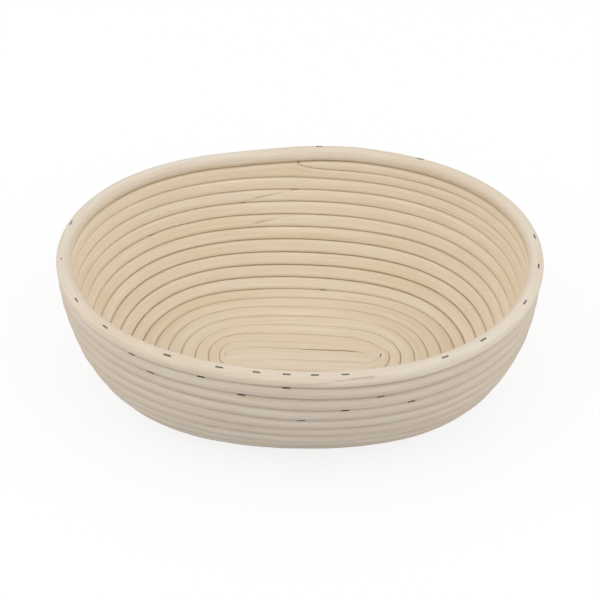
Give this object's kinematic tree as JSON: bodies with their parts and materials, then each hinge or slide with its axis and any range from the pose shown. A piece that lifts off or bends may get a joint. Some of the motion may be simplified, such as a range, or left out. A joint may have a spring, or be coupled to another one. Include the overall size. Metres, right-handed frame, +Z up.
{
  "type": "proofing basket",
  "caption": "Oval bread proofing basket of round rattan cane: a coiled floor and flared wall under a thicker rim cane, pinned with wire staples.",
  "frame": {"origin": "on the surface that the basket stands on, under the middle of the basket's outline", "axes": "+Z up; +X along the length, towards the end where the first strip folds back; +Y across it, towards the side where the winding's tail runs out under the rim"},
  "size_m": [0.2882, 0.216, 0.092],
  "materials": {
    "cane": "unvarnished peeled rattan, matte",
    "rim_cane": "unvarnished peeled rattan, paler and greyer, matte",
    "staple_wire": "dull grey steel wire"
  },
  "bodies": {
    "root": {"core_staple": "staple_wire", "covered_staple_01": "staple_wire", "covered_staple_02": "staple_wire", "covered_staple_03": "staple_wire", "covered_staple_04": "staple_wire", "covered_staple_05": "staple_wire", "covered_staple_06": "staple_wire", "covered_staple_07": "staple_wire", "covered_staple_08": "staple_wire", "covered_staple_09": "staple_wire", "covered_staple_10": "staple_wire", "covered_staple_11": "staple_wire", "floor_cane": "cane", "inner_staple_01": "staple_wire", "inner_staple_02": "staple_wire", "inner_staple_03": "staple_wire", "inner_staple_04": "staple_wire", "inner_staple_05": "staple_wire", "outer_staple_01": "staple_wire", "outer_staple_02": "staple_wire", "outer_staple_03": "staple_wire", "outer_staple_04": "staple_wire", "outer_staple_05": "staple_wire", "outer_staple_06": "staple_wire", "outer_staple_07": "staple_wire", "outer_staple_08": "staple_wire", "outer_staple_09": "staple_wire", "outer_staple_10": "staple_wire", "outer_staple_11": "staple_wire", "outer_staple_12": "staple_wire", "outer_staple_13": "staple_wire", "rim_cane": "rim_cane", "rim_staple_01": "staple_wire", "rim_staple_02": "staple_wire", "rim_staple_03": "staple_wire", "rim_staple_04": "staple_wire", "rim_staple_05": "staple_wire", "rim_staple_06": "staple_wire", "rim_staple_07": "staple_wire", "rim_staple_08": "staple_wire", "rim_staple_09": "staple_wire", "rim_staple_10": "staple_wire", "rim_staple_11": "staple_wire", "rim_staple_12": "staple_wire", "rim_staple_13": "staple_wire", "rim_staple_14": "staple_wire", "rim_staple_15": "staple_wire", "rim_staple_16": "staple_wire", "rim_staple_17": "staple_wire", "top_cane": "cane", "wall_cane": "cane"}
  },
  "joints": []
}
